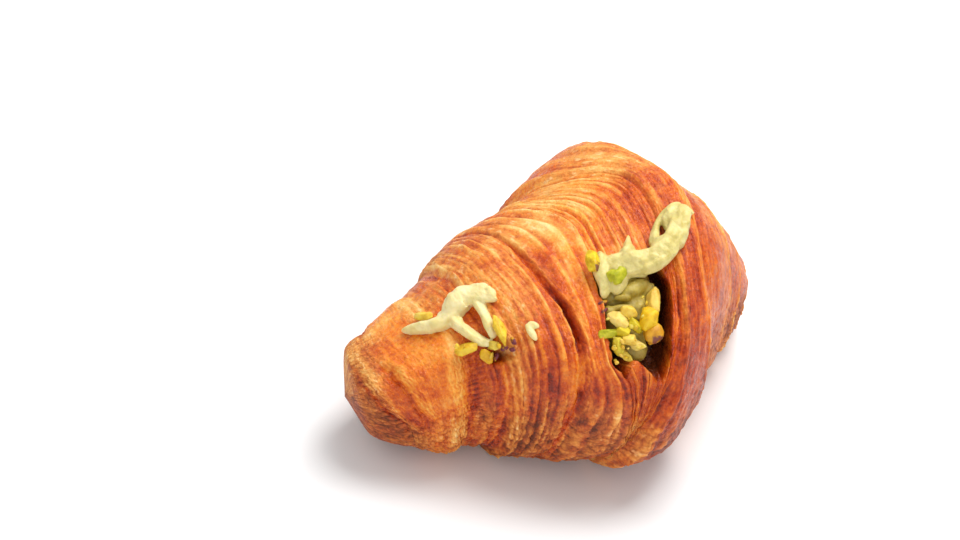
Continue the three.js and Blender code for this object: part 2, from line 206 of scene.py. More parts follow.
def noise_space(points, size, seed):
    """Value noise from -1 to 1 in space: random numbers on a lattice of the given size, eased."""
    table = np.random.default_rng(seed).random((SPACE_TABLE,) * 3) * 2 - 1
    scaled = points / size + 1000
    cell = np.floor(scaled).astype(int)
    f = scaled - cell
    f = f * f * (3 - 2 * f)
    total = 0
    for dx in (0, 1):
        for dy in (0, 1):
            for dz in (0, 1):
                weight = (np.where(dx, f[..., 0], 1 - f[..., 0]) * np.where(dy, f[..., 1], 1 - f[..., 1])
                          * np.where(dz, f[..., 2], 1 - f[..., 2]))
                corner = np.mod(cell + (dx, dy, dz), SPACE_TABLE)
                total = total + weight * table[corner[..., 0], corner[..., 1], corner[..., 2]]
    return total


# ------------------------------------------------------------------ the plain roll


def girth_of(column, tip):
    """One column of GIRTH as a curve along the roll, ending at "tip" times its last value."""
    inner = [(row[0], row[column]) for row in GIRTH]
    return curve_through([(-HALF_LENGTH, tip * inner[0][1]), *inner, (HALF_LENGTH, tip * inner[-1][1])])


reach_belly, reach_back, half_height = girth_of(1, 0), girth_of(2, 0), girth_of(3, 0)
middle_height = girth_of(3, 0.8)
slit_left, slit_right = curve_round(SLIT_LEFT), curve_round(SLIT_RIGHT)
slit_foot = curve_through(SLIT_FOOT)


def on_roll(along, turn, out):
    """A point on the plain roll: a superellipse section of the girth at "along", grown by "out",
    set square to a parabola that bends the roll, with the left tip lifted and leaning. In mm."""
    u = along / HALF_LENGTH
    angle = turn * DEGREE
    heading = np.arctan2(2 * BOW * u, HALF_LENGTH)
    side, rise = -np.sin(angle), -np.cos(angle)
    corner = (np.abs(side) ** SECTION_POWER + np.abs(rise) ** SECTION_POWER) ** (-1 / SECTION_POWER)
    side, rise = side * corner, rise * corner
    proud = out * np.maximum(1 - np.abs(u) ** 16, 0)
    across = side * (np.where(side < 0, reach_belly(along), reach_back(along)) + proud)
    up = rise * (half_height(along) + proud)
    lift = np.where(u < 0, TIP_LIFT_LEFT * u ** 4, 0)
    lean = -TIP_LEAN * np.clip(-u - TIP_LEAN_FROM, 0, 1) * up
    return np.stack([
        along - across * np.sin(heading) + lean - CENTRE_X,
        BOW * (u * u - BOW_MIDDLE) + across * np.cos(heading) - CENTRE_Y,
        middle_height(along) * SINK + lift + up,
    ], axis=-1)


def plain_steps(along, turn):
    """How far the wraps stand off the plain roll, without fine detail."""
    height = 0
    for e in WRAP_EDGES:
        past = (along - e["at"](turn)) * -e["faces"]
        step = (smooth_step(past, -0.7, 0.7) - STEP_BELOW) * bump_of(past, STEP_REACH)
        height = height + e["rise"] * e["strength"](turn) * step
    return height * np.maximum(1 - np.abs(along / HALF_LENGTH) ** 12, 0)


def on_crust(along, turn, out=0.0):
    """A point on the stepped crust, or "out" off it, in mm."""
    return on_roll(along, turn, plain_steps(along, turn) + out)


def axes_at(along, turn):
    """Unit axes at a place on the crust: along the roll, round it and straight out."""
    ahead = on_crust(along + 1.5, turn) - on_crust(along - 1.5, turn)
    round_ = on_crust(along, turn + 2) - on_crust(along, turn - 2)
    ahead, round_ = ahead / np.linalg.norm(ahead), round_ / np.linalg.norm(round_)
    outward = np.cross(ahead, round_)
    return ahead, round_, outward / np.linalg.norm(outward)


# ------------------------------------------------------------------ meshes


def mesh_piece(name, points, faces, material, replaced=(), uv=None, channels=None):
    """A smooth mesh object from points in mm and quads or triangles, riding on the root."""
    mesh = bpy.data.meshes.new(name)
    points = np.asarray(points, float).reshape(-1, 3) * MM
    faces = [np.asarray(block) for block in faces if len(block)]
    corners = np.concatenate([block.ravel() for block in faces])
    sizes = np.concatenate([np.full(len(block), block.shape[1]) for block in faces])
    mesh.vertices.add(len(points))
    mesh.vertices.foreach_set("co", points.ravel())
    mesh.loops.add(len(corners))
    mesh.loops.foreach_set("vertex_index", corners.astype(np.int32))
    mesh.polygons.add(len(sizes))
    mesh.polygons.foreach_set("loop_start", np.concatenate([[0], np.cumsum(sizes)[:-1]]).astype(np.int32))
    mesh.polygons.foreach_set("loop_total", sizes.astype(np.int32))
    mesh.update(calc_edges=True)
    mesh.validate()
    mesh.shade_smooth()
    if uv is not None:
        layer = mesh.uv_layers.new(name="grain")
        layer.data.foreach_set("uv", np.asarray(uv, np.float32).ravel())
    for channel, values in (channels or {}).items():
        attribute = mesh.attributes.new(channel, "FLOAT", "POINT")
        attribute.data.foreach_set("value", np.asarray(values, np.float32).ravel())
    mesh.materials.append(material)
    piece = bpy.data.objects.new(name, mesh)
    bpy.context.scene.collection.objects.link(piece)
    finish_piece(piece, replaced)
    return piece


def finish_piece(piece, replaced=()):
    """Says what the piece rides on and which CAD nodes it stands for."""
    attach(piece, "root")
    if replaced:
        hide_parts(*replaced)


def tube_faces(rings, sides):
    """Quads between rings of points that close round, and triangles to a point at either end."""
    i, j = np.meshgrid(np.arange(rings - 1), np.arange(sides), indexing="ij")
    after = (j + 1) % sides
    here, ahead = i * sides, (i + 1) * sides
    quads = np.stack([here + j, here + after, ahead + after, ahead + j], -1).reshape(-1, 4)
    k = np.arange(sides)
    first, last = rings * sides, rings * sides + 1
    start = np.stack([np.full(sides, first), (k + 1) % sides, k], -1)
    base = (rings - 1) * sides
    end = np.stack([np.full(sides, last), base + k, base + (k + 1) % sides], -1)
    return quads, start, end


def outward_faces(points, blocks):
    """The same faces, all turned over if the solid they bound would have a negative volume."""
    volume = 0.0
    for block in blocks:
        a, b, c = points[block[:, 0]], points[block[:, 1]], points[block[:, 2]]
        volume += np.einsum("ij,ij->i", a, np.cross(b, c)).sum()
        if block.shape[1] == 4:
            d = points[block[:, 3]]
            volume += np.einsum("ij,ij->i", a, np.cross(c, d)).sum()
    return [block[:, ::-1] for block in blocks] if volume < 0 else list(blocks)


# ------------------------------------------------------------------ the baked crust

# Rows of the crust's grid round the roll, and how much closer they lie over the belly and top.
ROWS = 206
ROW_CROWDING = 1.7
# Columns of the crust's grid between one guide line and the next, from the left tip to the right.
COLUMNS = [36, 26, 44, 40, 52, 36, 68, 52, 38, 28, 24, 28]
COLUMN_CROWDING = 0.55
# A typical way round the roll, in mm, which turns a turn into an arc.
GIRTH_MM = 270


def crowded_turns():
    """Row angles round the roll, closer together over the belly and top, where detail is finest."""
    turn = np.linspace(0, 360, 3601)
    weight = 1 + ROW_CROWDING * smooth_step(turn, 40, 75) * (1 - smooth_step(turn, 205, 250))
    share = np.concatenate([[0], np.cumsum(weight[1:])])
    return np.interp(np.arange(ROWS) / ROWS * share[-1], share, turn)


def guide_lines(turn):
    """How far along the roll the grid's guide lines lie: both tips, each wrap edge, the slit's left."""
    edges = [e["at"](turn) for e in WRAP_EDGES]
    tip = np.full_like(turn, HALF_LENGTH)
    return np.stack([-tip, *edges[:5], slit_left(turn), *edges[5:], tip])


def crust_grid():
    """Places of the grid: columns share the space between neighbouring guide lines, crowded toward
    each line, so that the grid follows the wraps. Also a "grain" coordinate across the wraps, in mm."""
    turn = crowded_turns()
    lines = guide_lines(turn)
    middle = guide_lines(np.array([135.0]))[:, 0]
    along, grain = [], []
    for k, count in enumerate(COLUMNS):
        skipped = 1 if k == 0 else 0
        t = (np.arange(count) + skipped) / (count + skipped)
        t = t - COLUMN_CROWDING * np.sin(2 * np.pi * t) / (2 * np.pi)
        along.append(lines[k] + t[:, None] * (lines[k + 1] - lines[k]))
        grain.append(middle[k] + t * (middle[k + 1] - middle[k]))
    along = np.concatenate(along)
    grain = np.broadcast_to(np.concatenate(grain)[:, None], along.shape)
    return along, np.broadcast_to(turn, along.shape), grain


# How plainly the long layers of the laminated dough show on each stretch between guide lines.
LAYERS_BY_WRAP = [0.15, 0.2, 0.1, 0.45, 0.95, 1.1, 0.9, 0.35, 0.35, 0.4, 0.3, 0.2]
LAYER_WIDTH = 2.3
# How plainly the fine threads show on the same stretches.
THREADS_BY_WRAP = [0.4, 0.4, 0.2, 0.9, 1.1, 1.3, 1.2, 0.7, 0.4, 0.35, 0.5, 0.4]
# The stretch of shrunken, cross-wrinkled dough in the valley beside the left bulb.
VALLEY = dict(along=-44.5, half_wide=3.2, turn=104, half_turn=34)


def by_wrap(levels, grain):
    """One level for each stretch between guide lines, eased from one to the next."""
    middle = guide_lines(np.array([135.0]))[:, 0]
    return np.interp(grain, (middle[1:] + middle[:-1]) / 2, levels)


def flaky_share(along, turn):
    """Where the crust is dry and flaky rather than glazed: low on the sides and at both tips."""
    low = smooth_step(-np.cos((turn - 10) * DEGREE), 0.25, -0.5)
    tips = smooth_step(np.abs(along), 60, 72)
    return np.clip(low + 0.8 * tips, 0, 1)


def layer_profile(grain, arc):
    """The fine layers across a wrap, as a height from 0 to 1 and as how plain they are: a sawtooth
    whose teeth keep their place for a long way round, some of them fading in and out."""
    phase = grain / LAYER_WIDTH + 1.1 * noise_plane(grain / 9, arc / 48, 4)
    phase = phase + 0.25 * noise_plane(grain / 2, arc / 9, 3)
    tooth = phase - np.floor(phase)
    saw = np.minimum(tooth / 0.78, (1 - tooth) / 0.22)
    plain = smooth_step(noise_plane(np.floor(phase) * 1.7 + 0.5, arc / 30, 5), 0.3, 0.65)
    return saw, plain


def wrap_relief(along, turn, grain):
    """Height of the crust off the plain roll, in mm, and what the finish needs to know about it.

    Each wrap edge is a step that rises over its run and sinks back over STEP_REACH, with a gully at
    its foot and ripples of cut layers on its rise. Over all lie long sawtooth layers along the wraps,
    threads, soft lumps, and domed flakes where the crust is dry."""
    arc = turn / 360 * GIRTH_MM
    height = np.zeros_like(along)
    cut, gully, lines = np.zeros_like(along), np.zeros_like(along), np.zeros_like(along)
    for k, e in enumerate(WRAP_EDGES):
        ragged = 1.0 * (noise_plane(arc / 6, k * 3.0 + 0 * arc, 20 + k) - 0.5) \
            + 0.7 * (noise_plane(arc / 1.7, k * 5.0 + 0 * arc, 40 + k) - 0.5)
        past = (along - e["at"](turn)) * -e["faces"] + ragged
        strength = e["strength"](turn) * (0.8 + 0.4 * noise_plane(arc / 18, k * 7.0 + 0 * arc, 60 + k))
        risen = smooth_step(past, -0.3, e["run"])
        height += e["rise"] * strength * (risen - STEP_BELOW) * bump_of(past, STEP_REACH)
        groove = bump_of(past + 0.8 * e["gully_width"], e["gully_width"]) * strength
        height -= e["gully"] * groove
        on_rise = smooth_step(past, -0.2, 0.5) * (1 - smooth_step(past, e["run"], e["run"] + 1.6))
        on_rise = on_rise * np.clip(strength, 0, 1)
        beads = noise_plane(arc / 1.6, past / 1.2, 80 + k) - 0.5
        ripple = np.sin(2 * np.pi * (past / 0.9 + 0.5 * noise_plane(arc / 12, past / 3, 90 + k)))
        height += on_rise * (0.12 * ripple + 0.45 * beads + 0.25 * bump_of(past - e["run"], 0.7))
        cut = np.maximum(cut, on_rise)
        lines += on_rise * (0.6 * ripple + 0.8 * beads)
        gully = np.maximum(gully, groove * min(e["gully"], 1.2) / 1.2)
    saw, plain = layer_profile(grain, arc)
    layers = by_wrap(LAYERS_BY_WRAP, grain) * plain * (1 - smooth_step(np.abs(along), 64, 72))
    layer = layers * (saw - 0.5)
    thread = noise_plane(grain / 0.6 + 2 * noise_plane(grain / 5, arc / 20, 2), arc / 14, 6) - 0.5
    thread = thread * by_wrap(THREADS_BY_WRAP, grain)
    flaky = flaky_share(along, turn)
    near, second = cells_plane(along / 2.9 + 0.7 * noise_plane(along / 2, arc / 2, 11), arc / 4.2, 7)
    flake = np.clip(1 - near, 0, 1) - 0.5
    crease = bump_of(second - near, 0.10)
    lump = noise_plane(along / 13, arc / 16, 8) + 0.5 * noise_plane(along / 5, arc / 7, 9) - 0.75
    pimple = noise_plane(along / 1.3, arc / 1.9, 10) + 0.5 * noise_plane(along / 0.7, arc / 1.1, 12) - 0.75
    across = bump_of((along - VALLEY["along"]) / VALLEY["half_wide"], 1) \
        * bump_of((turn - VALLEY["turn"]) / VALLEY["half_turn"], 1)
    fold = np.sin(2 * np.pi * (arc / 2.6 + 0.9 * noise_plane(along / 2.5, arc / 4, 13)))
    height += 0.85 * layer + (0.15 + 0.2 * layers) * thread + 1.1 * lump + (0.16 + 0.14 * flaky) * pimple
    height += (0.10 + 0.55 * flaky) * flake - 0.3 * flaky * crease + across * (0.28 * fold - 0.9)
    tips = np.maximum(1 - np.abs(along / HALF_LENGTH) ** 10, 0)
    marks = dict(cut=cut, gully=gully, lines=lines, layer=layer, thread=thread, lump=lump, flaky=flaky,
                 flake=flake, crease=crease * flaky, pimple=pimple, across=across, fold=fold)
    return height * tips, marks


def torn_slit(along, turn):
    """The torn slit: how far each point moves along the roll and into it, in mm, and how deep it is
    as a share. Between its two edges the floor is nearly flat with steep walls; at its foot the wall
    is ragged, and all of it leans under the collar."""
    left, right = slit_left(turn), slit_right(turn)
    half = np.maximum(right - left, 0.4) / 2
    ragged = 0.7 * (noise_plane(turn / 2.2, 0 * turn, 32) - 0.5)
    x = (along + ragged - (left + right) / 2) / half
    foot = slit_foot(along) + 3.0 * (noise_plane(along / 1.1, 0 * along, 34) - 0.5)
    ends = smooth_step(turn, foot, foot + 2.5) * (1 - smooth_step(turn, SLIT["head"] - 5, SLIT["head"]))
    wall = smooth_step(1 - np.abs(x), 0.0, np.minimum(1.3 / half, 0.5)) * ends
    floor = 0.75 + 0.25 * smooth_step(x, -1, 0.6)
    into = wall * (SLIT["deep"] * floor + 1.4 * (noise_plane(along / 2.5, turn / 3.4, 33) - 0.5))
    share = np.clip(into / SLIT["deep"], 0, 1)
    return SLIT["undercut"] * share * smooth_step(x, -0.6, 1), into, share


def nozzle_dent(along, turn):
    """The nozzle hole: a round pit with a soft rim, as a depth in mm."""
    away = np.hypot(along - NOZZLE_HOLE["along"], (turn - NOZZLE_HOLE["turn"]) * 0.7)
    return NOZZLE_HOLE["deep"] * (1 - smooth_step(away, 0.35 * NOZZLE_HOLE["radius"], NOZZLE_HOLE["radius"]))


# How dark each stretch between guide lines is baked, from the left tip to the right tip.
BAKE_BY_WRAP = [0.78, 0.72, 0.50, 0.68, 0.66, 0.64, 0.70, 0.80, 0.64, 0.60, 0.62, 0.68]
GLAZE_BY_WRAP = [0.15, 0.25, 0.75, 0.1, 0.15, 0.2, 0.4, 0.35, 0.1, 0.0, 0.0, -0.1]


def bake_and_painted_light_map(along, turn, grain, marks, hollow):
    """How dark the crust is coloured, 0 pale to 1 dark: each wrap's own bake level; paler on top as
    painted light from above, along with a lighter bake there; darker toward the base as painted shade,
    along with real browning underneath; pulled to a deep red in gullies, partly painted shade and partly
    glaze baked darker; darker in creases as painted shade and in the valley beside the left bulb as
    painted shade along with browner shrunken dough; paler on the crests of layers and on cut edges, with
    broad bands and patches; dark in the slit and the nozzle hole as painted shade."""
    arc = turn / 360 * GIRTH_MM
    upward = -np.cos(turn * DEGREE)
    level = by_wrap(BAKE_BY_WRAP, grain)
    # Paler on top as painted light from above, along with a lighter bake; darker toward the base as painted
    # shade, along with real browning underneath.
    level = level - 0.26 * np.clip(upward, 0, 1) ** 2 + 0.04 * np.clip(-upward, 0, 1)
    # Paler still along the top ridge over the right half: painted light, along with a lighter bake.
    crest = smooth_step(turn, 176, 196) * (1 - smooth_step(turn, 240, 280))
    level -= 0.20 * crest * smooth_step(along, -30, -5)
    # Pulled toward a deep red in the gullies: painted shade at the foot of each wrap, along with glaze baked
    # darker there.
    level += (0.64 - level) * 0.8 * np.clip(marks["gully"], 0, 1)
    level -= marks["cut"] * (0.20 + 0.20 * marks["lines"])
    level -= 0.44 * marks["layer"] + 0.34 * marks["thread"] + 0.08 * marks["lump"] + 0.10 * marks["pimple"]
    # Darker in the creases between flakes: painted shade.
    level += 0.16 * marks["crease"] - marks["flaky"] * (0.03 + 0.20 * marks["flake"])
    # Darker in the valley beside the left bulb and in the troughs of its wrinkles: painted shade, along with
    # browner shrunken dough.
    level += marks["across"] * (0.10 - 0.10 * marks["fold"])
    level += 0.22 * (noise_plane(grain / 3.5, arc / 40, 51) - 0.5)
    level += 0.16 * (noise_plane(along / 8, arc / 9, 52) - 0.5)
    # Dark in the slit and the nozzle hole: painted shade.
    return np.clip(level, 0, 1) * (1 - hollow) + 0.75 * hollow


def glaze_map(along, turn, grain, marks):
    """How much of the egg-washed orange glaze the crust keeps: most on smooth upper skin, least where
    it is flaky or cut, in drawn-out patches."""
    arc = turn / 360 * GIRTH_MM
    patches = 0.7 * noise_plane(grain / 6, arc / 24, 55) + 0.5 * noise_plane(along / 12, arc / 12, 56) - 0.6
    upward = np.clip(-np.cos(turn * DEGREE), 0, 1)
    level = 0.92 - 0.75 * marks["flaky"] - 0.45 * upward ** 2 - 0.3 * marks["cut"] + 0.9 * patches
    level -= 0.35 * smooth_step(turn, 172, 192)
    level += by_wrap(GLAZE_BY_WRAP, grain)
    level -= 0.5 * marks["thread"]
    return np.clip(level + 0.8 * marks["gully"], 0, 1)


def with_tips(field):
    """A field over the crust's grid as one list, followed by its values at the two tips."""
    return np.concatenate([field.ravel(), field[[0, -1], 0]])


def crust_mesh(material):
    """The bread: the crust grid raised by its relief, sunk in the slit and the nozzle hole and cut
    flat at the base, closed at both tips."""
    along, turn, grain = crust_grid()
    height, marks = wrap_relief(along, turn, grain)
    shift, into, slit_share = torn_slit(along, turn)
    dent = nozzle_dent(along, turn)
    points = on_roll(along + shift, turn, height * (1 - 0.7 * slit_share) - into - dent)
    columns, rows = along.shape
    tips = on_roll(np.array([-HALF_LENGTH, HALF_LENGTH]), np.array([180.0, 180.0]), 0)
    points = np.concatenate([points.reshape(-1, 3), tips])
    points[:, 2] = np.maximum(points[:, 2], 0)
    quads, start, end = tube_faces(columns, rows)
    blocks = outward_faces(points, (quads, start, end))
    turned = np.concatenate([block.ravel() for block in blocks])
    arc = turn / 360 * GIRTH_MM
    place = np.concatenate([np.stack([grain, arc], -1).reshape(-1, 2), [[-HALF_LENGTH, 0], [HALF_LENGTH, 0]]])
    uv = place[turned]
    sizes = np.concatenate([np.full(len(block), block.shape[1]) for block in blocks])
    owner = np.repeat(np.arange(len(sizes)), sizes)
    highest = np.maximum.reduceat(uv[:, 1], np.concatenate([[0], np.cumsum(sizes)[:-1]]))
    uv[:, 1] += np.where((highest[owner] > GIRTH_MM * 0.9) & (uv[:, 1] < GIRTH_MM * 0.1), GIRTH_MM, 0)
    # How far into the slit and the nozzle hole each point lies: there the crust is painted dark as shade.
    hollow = np.clip(slit_share + 0.4 * dent / NOZZLE_HOLE["deep"], 0, 1)
    bake_and_painted_light = bake_and_painted_light_map(along, turn, grain, marks, hollow)
    glaze = glaze_map(along, turn, grain, marks)
    fields = dict(bake_and_painted_light=bake_and_painted_light, glaze=glaze, cut=marks["cut"], flaky=marks["flaky"], hollow=hollow)
    channels = {name: with_tips(field) for name, field in fields.items()}
    return mesh_piece("baked_bread", points, blocks, material, ["bread"], uv * MM, channels)


# ------------------------------------------------------------------ cream and pistachios

# Ropes of piped cream: (along, turn, out, radius) down the course of each.
SLIT_ROPES = [
    [(-8.4, 152.5, 0.8, 3.6), (-5, 154, 2.0, 4.3), (-1.5, 152.3, 2.4, 4.2), (1.5, 150.3, 2.8, 3.8),
     (4.5, 148.8, 3.0, 3.8), (7.5, 148.2, 3.0, 3.7), (10.8, 148.7, 2.8, 3.5), (14, 150, 2.2, 3.2),
     (16.5, 152, 1.4, 2.8), (18.5, 150.5, 0.9, 2.2), (20.8, 146.5, 0.6, 0.8)],
    [(11, 150.5, 1.6, 2.4), (14, 154, 0.8, 2.4), (16.6, 155.5, 0.5, 2.0), (19.5, 153.5, 0.3, 1.2)],
    [(-6.2, 163, 0.6, 1.6), (-8.0, 160, 1.6, 2.6), (-9.8, 156.5, 2.2, 2.9), (-11.2, 152.5, 1.8, 2.5),
     (-12.3, 149.5, 1.0, 1.7), (-12.9, 147.5, 0.6, 1.0)],
    [(-4.0, 156, 2.0, 3.4), (-6.4, 153.5, 2.2, 3.2), (-8.6, 150.5, 1.6, 2.6), (-10.0, 147.5, 0.9, 1.7)],
    [(-9.5, 156.5, 1.6, 2.4), (-6.5, 157, 2.0, 2.8), (-3.0, 155, 2.2, 3.2)],
    [(-4, 153.5, 2.2, 3.6), (-2.4, 156, 2.2, 3.0), (-0.6, 158.2, 2.0, 2.1), (1.0, 160.2, 1.8, 1.1),
     (2.2, 161.6, 1.7, 0.4)],
    [(-2.5, 149.5, 3.6, 2.2), (1.5, 147.8, 4.2, 2.0), (5.5, 146.2, 4.2, 1.8), (9, 146, 3.6, 1.5)],
    [(5, 151, 2.0, 2.2), (6.8, 153.5, 1.3, 1.6), (9, 155.5, 0.8, 1.1), (11.6, 157, 0.5, 1.1),
     (14.5, 156.5, 0.6, 1.5), (17, 153.5, 1.0, 1.8)],
]
SIDE_ROPES = [
    [(-58, 177, 0.4, 1.0), (-54.8, 170, 0.8, 1.9), (-51.8, 164.5, 1.1, 2.3), (-48.6, 161.5, 1.2, 2.9),
     (-45, 164, 1.2, 3.2)],
    [(-48, 160.5, 0.9, 3.0), (-45, 167, 1.4, 4.2), (-42, 168.5, 1.2, 4.0), (-39.4, 163, 1.0, 2.4),
     (-36.2, 157, 0.6, 1.5)],
    [(-46.8, 160, 1.0, 2.8), (-46.4, 153, 1.1, 2.2), (-44.8, 146, 1.3, 1.8), (-42.5, 138.5, 1.3, 1.7),
     (-40, 135.5, 1.3, 1.2)],
    [(-40.6, 166, 0.6, 1.9), (-40.2, 158, 0.9, 1.7), (-40, 150, 0.9, 1.5), (-40, 143, 1.2, 1.6),
     (-39.8, 138, 1.2, 1.2)],
]
# Lumps of cream: along, turn, out, half sizes (along, round, out), spin.
SIDE_LUMPS = [
    (-41.8, 172.0, 1.2, (2.0, 1.7, 1.6), 10), (-39.2, 170.0, 1.2, (1.9, 1.5, 1.5), -20),
    (-37.8, 166.0, 1.4, (2.3, 2.4, 1.6), 15), (-36.6, 161.2, 1.2, (1.7, 2.0, 1.3), 0),
    (-39.0, 165.6, 2.2, (1.6, 1.1, 1.0), 30), (-43.4, 170.2, 2.6, (1.5, 1.1, 1.0), -35),
    (-46.0, 167.0, 3.0, (1.2, 2.0, 1.0), 20), (-48.4, 165.0, 1.6, (1.6, 1.9, 1.3), 0),
    (-38.2, 168.6, 2.2, (0.8, 0.9, 0.8), 0), (-36.4, 163.6, 2.0, (0.9, 0.8, 0.8), 0),
]
INNER_LUMPS = [
    (-5.5, 153, -8, (9, 8, 9), 0), (-5.5, 144, -9, (8, 8, 8), 0), (-11, 136, -9, (5.5, 9, 5), 10),
    (-4.6, 147.5, -1.6, (5.6, 2.7, 2.9), -10), (-1.0, 144.5, -2.8, (2.8, 1.6, 2.2), -8),
    (-8.4, 146.2, -0.6, (2.6, 1.0, 1.5), -30), (-9.6, 143.4, -1.6, (3.4, 1.1, 1.7), -18),
    (-5.4, 142, -2.6, (1.9, 1.6, 1.8), 0), (-12.6, 143.6, -2.0, (1.6, 2.2, 1.5), 0),
]
FLECK_LUMPS = [(-31.8, 137.2, 0.5, (1.3, 3.0, 1.1), 12), (-30.8, 140.4, 0.5, (1.9, 1.3, 0.9), -15)]

# Chopped pistachios: along, turn, out, half sizes, spin, then how green, amber and pale each is.
SLIT_PISTACHIOS = [
    (-12.5, 139, 0.2, (2.6, 3.1, 2.4), 8, 0.0, 0.0, 0.7),
    (-5.6, 135.5, 0.6, (3.2, 3.4, 2.8), 20, 0.0, 0.25, 0.0),
    (-5.2, 130.5, -0.9, (3.2, 2.6, 2.4), -20, 0.0, 1.0, 0.0),
    (-2.2, 139.5, 0.0, (2.6, 3.7, 2.4), -20, 0.0, 0.4, 0.35),
    (-9.4, 140.4, 0.3, (2.1, 2.3, 2.0), 25, 0.0, 0.1, 0.3),
    (-15.8, 135.2, -0.2, (3.2, 1.5, 1.7), 4, 0.95, 0.0, 0.0),
    (-12.6, 134.5, 0.2, (2.0, 2.0, 2.0), -15, 0.45, 0.0, 0.0),
    (-9.2, 136, -0.6, (2.0, 3.0, 2.0), 15, 0.7, 0.2, 0.0),
    (-14.6, 130.2, -0.6, (1.5, 3.0, 1.7), -16, 0.5, 0.0, 0.1),
    (-11.8, 131.2, 0.2, (2.0, 2.1, 1.8), 30, 0.05, 0.0, 0.4),
    (-10.2, 128.6, -1.0, (2.2, 1.6, 1.1), -35, 0.2, 0.1, 0.6),
    (-13.9, 126.4, -1.6, (1.4, 2.8, 1.2), 20, 0.5, 0.2, 0.2),
    (-10.6, 158.2, 4.6, (1.9, 4.6, 1.9), -17, 0.2, 0.0, 0.0),
    (-7.8, 151.2, 4.6, (2.9, 2.5, 1.9), 10, 1.0, 0.0, 0.0),
]
SIDE_PISTACHIOS = [
    (-51.6, 173.5, 1.8, (3.9, 1.5, 1.3), -50, 0.0, 0.1, 0.2),
    (-46, 138, 1.9, (3.7, 1.9, 1.7), -15, 0.1, 0.2, 0.1),
    (-41.5, 129.5, 1.7, (1.7, 2.4, 1.5), 12, 0.05, 0.6, 0.0),
    (-37.5, 141, 2.0, (1.5, 4.8, 1.5), 5, 0.1, 0.1, 0.1),
    (-39.3, 134.5, 1.8, (2.4, 1.4, 1.3), 0, 0.3, 0.0, 0.3),
]
# Scraps of purple nut skin: along, turn, out, half sizes.
SKIN_SCRAPS = [
    (-38.0, 131.5, 0.5, (1.5, 0.9, 0.5)),
    (-36.0, 134.0, 0.4, (0.9, 1.5, 0.5)),
    (-39.6, 128.0, 0.5, (1.4, 0.8, 0.5)),
    (-36.6, 130.0, 0.4, (0.8, 1.2, 0.4)),
    (-13.4, 146.6, -0.2, (0.9, 1.8, 0.8)),
    (-14.2, 143.6, -0.4, (0.8, 1.6, 0.8)),
    (-6.6, 128.0, -1.4, (1.2, 0.8, 0.7)),
]
# How far each chopped nut swells past its listed size, its greatest tilt in degrees, how few of them
# keep a scrap of skin, and how many crumbs lie about.
NUT_GROWTH = 1.12
NUT_TILT = 25
SKIN_EVERY = 5
CRUMBS = 38


def rope_surface(course, sides=22, per_span=9):
    """A rope of cream: a circle of varying radius carried along a Catmull-Rom path over the crust,
    rounded at both ends, made uneven by noise in space and streaked along its length."""
    knots = np.array([on_crust(a, t, o) for a, t, o, _ in course])
    away = np.array([axes_at(a, t)[2] for a, t, _, _ in course])
    radii = np.array([r for *_, r in course])
    padded = np.concatenate([[2 * knots[0] - knots[1]], knots, [2 * knots[-1] - knots[-2]]])
    rings = (len(course) - 1) * per_span
    place = (np.arange(rings) + 0.5) / rings * (len(course) - 1)
    i = np.floor(place).astype(int)
    t = (place - i)[:, None]
    a, b, c, d = padded[i], padded[i + 1], padded[i + 2], padded[i + 3]
    square, cube = 2 * a - 5 * b + 4 * c - d, 3 * b - a - 3 * c + d
    path = 0.5 * (2 * b + (c - a) * t + square * t ** 2 + cube * t ** 3)
    outward = away[i] * (1 - t) + away[i + 1] * t
    ahead = np.gradient(path, axis=0)
    side = np.cross(ahead, outward)
    side /= np.linalg.norm(side, axis=1, keepdims=True)
    above = np.cross(side, ahead)
    above /= np.linalg.norm(above, axis=1, keepdims=True)
    share = (np.arange(rings) + 0.5) / rings
    radius = np.interp(place, np.arange(len(course)), radii) * np.sqrt(1 - (2 * share - 1) ** 8)
    angle = np.arange(sides) / sides * 2 * np.pi
    ring = np.cos(angle)[:, None] * side[:, None] + np.sin(angle)[:, None] * above[:, None]
    points = path[:, None] + radius[:, None, None] * ring
    swell = 0.20 * noise_space(points, 3.6, 71) + 0.12 * noise_space(points, 1.5, 72)
    along_it = np.broadcast_to(place[:, None] * 0.35, points.shape[:2])
    round_it = np.broadcast_to(angle, points.shape[:2])
    streaks = np.stack([np.cos(round_it), np.sin(round_it), along_it], -1)
    swell = swell + 0.30 * noise_space(streaks, 0.55, 75)
    points = points + (radius[:, None] * swell)[..., None] * ring
    points = np.concatenate([points.reshape(-1, 3), knots[[0, -1]]])
    return points, outward_faces(points, tube_faces(rings, sides))


def ball_directions(rings, sides):
    """Unit directions on rings of latitude, then both poles."""
    polar = np.pi * (np.arange(rings) + 1) / (rings + 1)
    angle = np.arange(sides) / sides * 2 * np.pi
    polar, angle = np.meshgrid(polar, angle, indexing="ij")
    ring = np.stack([-np.cos(polar), np.sin(polar) * np.cos(angle), np.sin(polar) * np.sin(angle)], -1)
    return np.concatenate([ring.reshape(-1, 3), [(-1, 0, 0), (1, 0, 0)]])


def set_down(shape, along, turn, out, spin, tilt=0.0):
    """Points of a shape about its middle, tilted and spun, then set down on the crust."""
    ahead, round_, outward = axes_at(along, turn)
    c, s = math.cos(tilt * DEGREE), math.sin(tilt * DEGREE)
    x, y, z = shape[:, 0] * c + shape[:, 2] * s, shape[:, 1], shape[:, 2] * c - shape[:, 0] * s
    c, s = math.cos(spin * DEGREE), math.sin(spin * DEGREE)
    x, y = x * c - y * s, x * s + y * c
    centre = on_crust(along, turn) + outward * out
    return centre + x[:, None] * ahead + y[:, None] * round_ + z[:, None] * outward


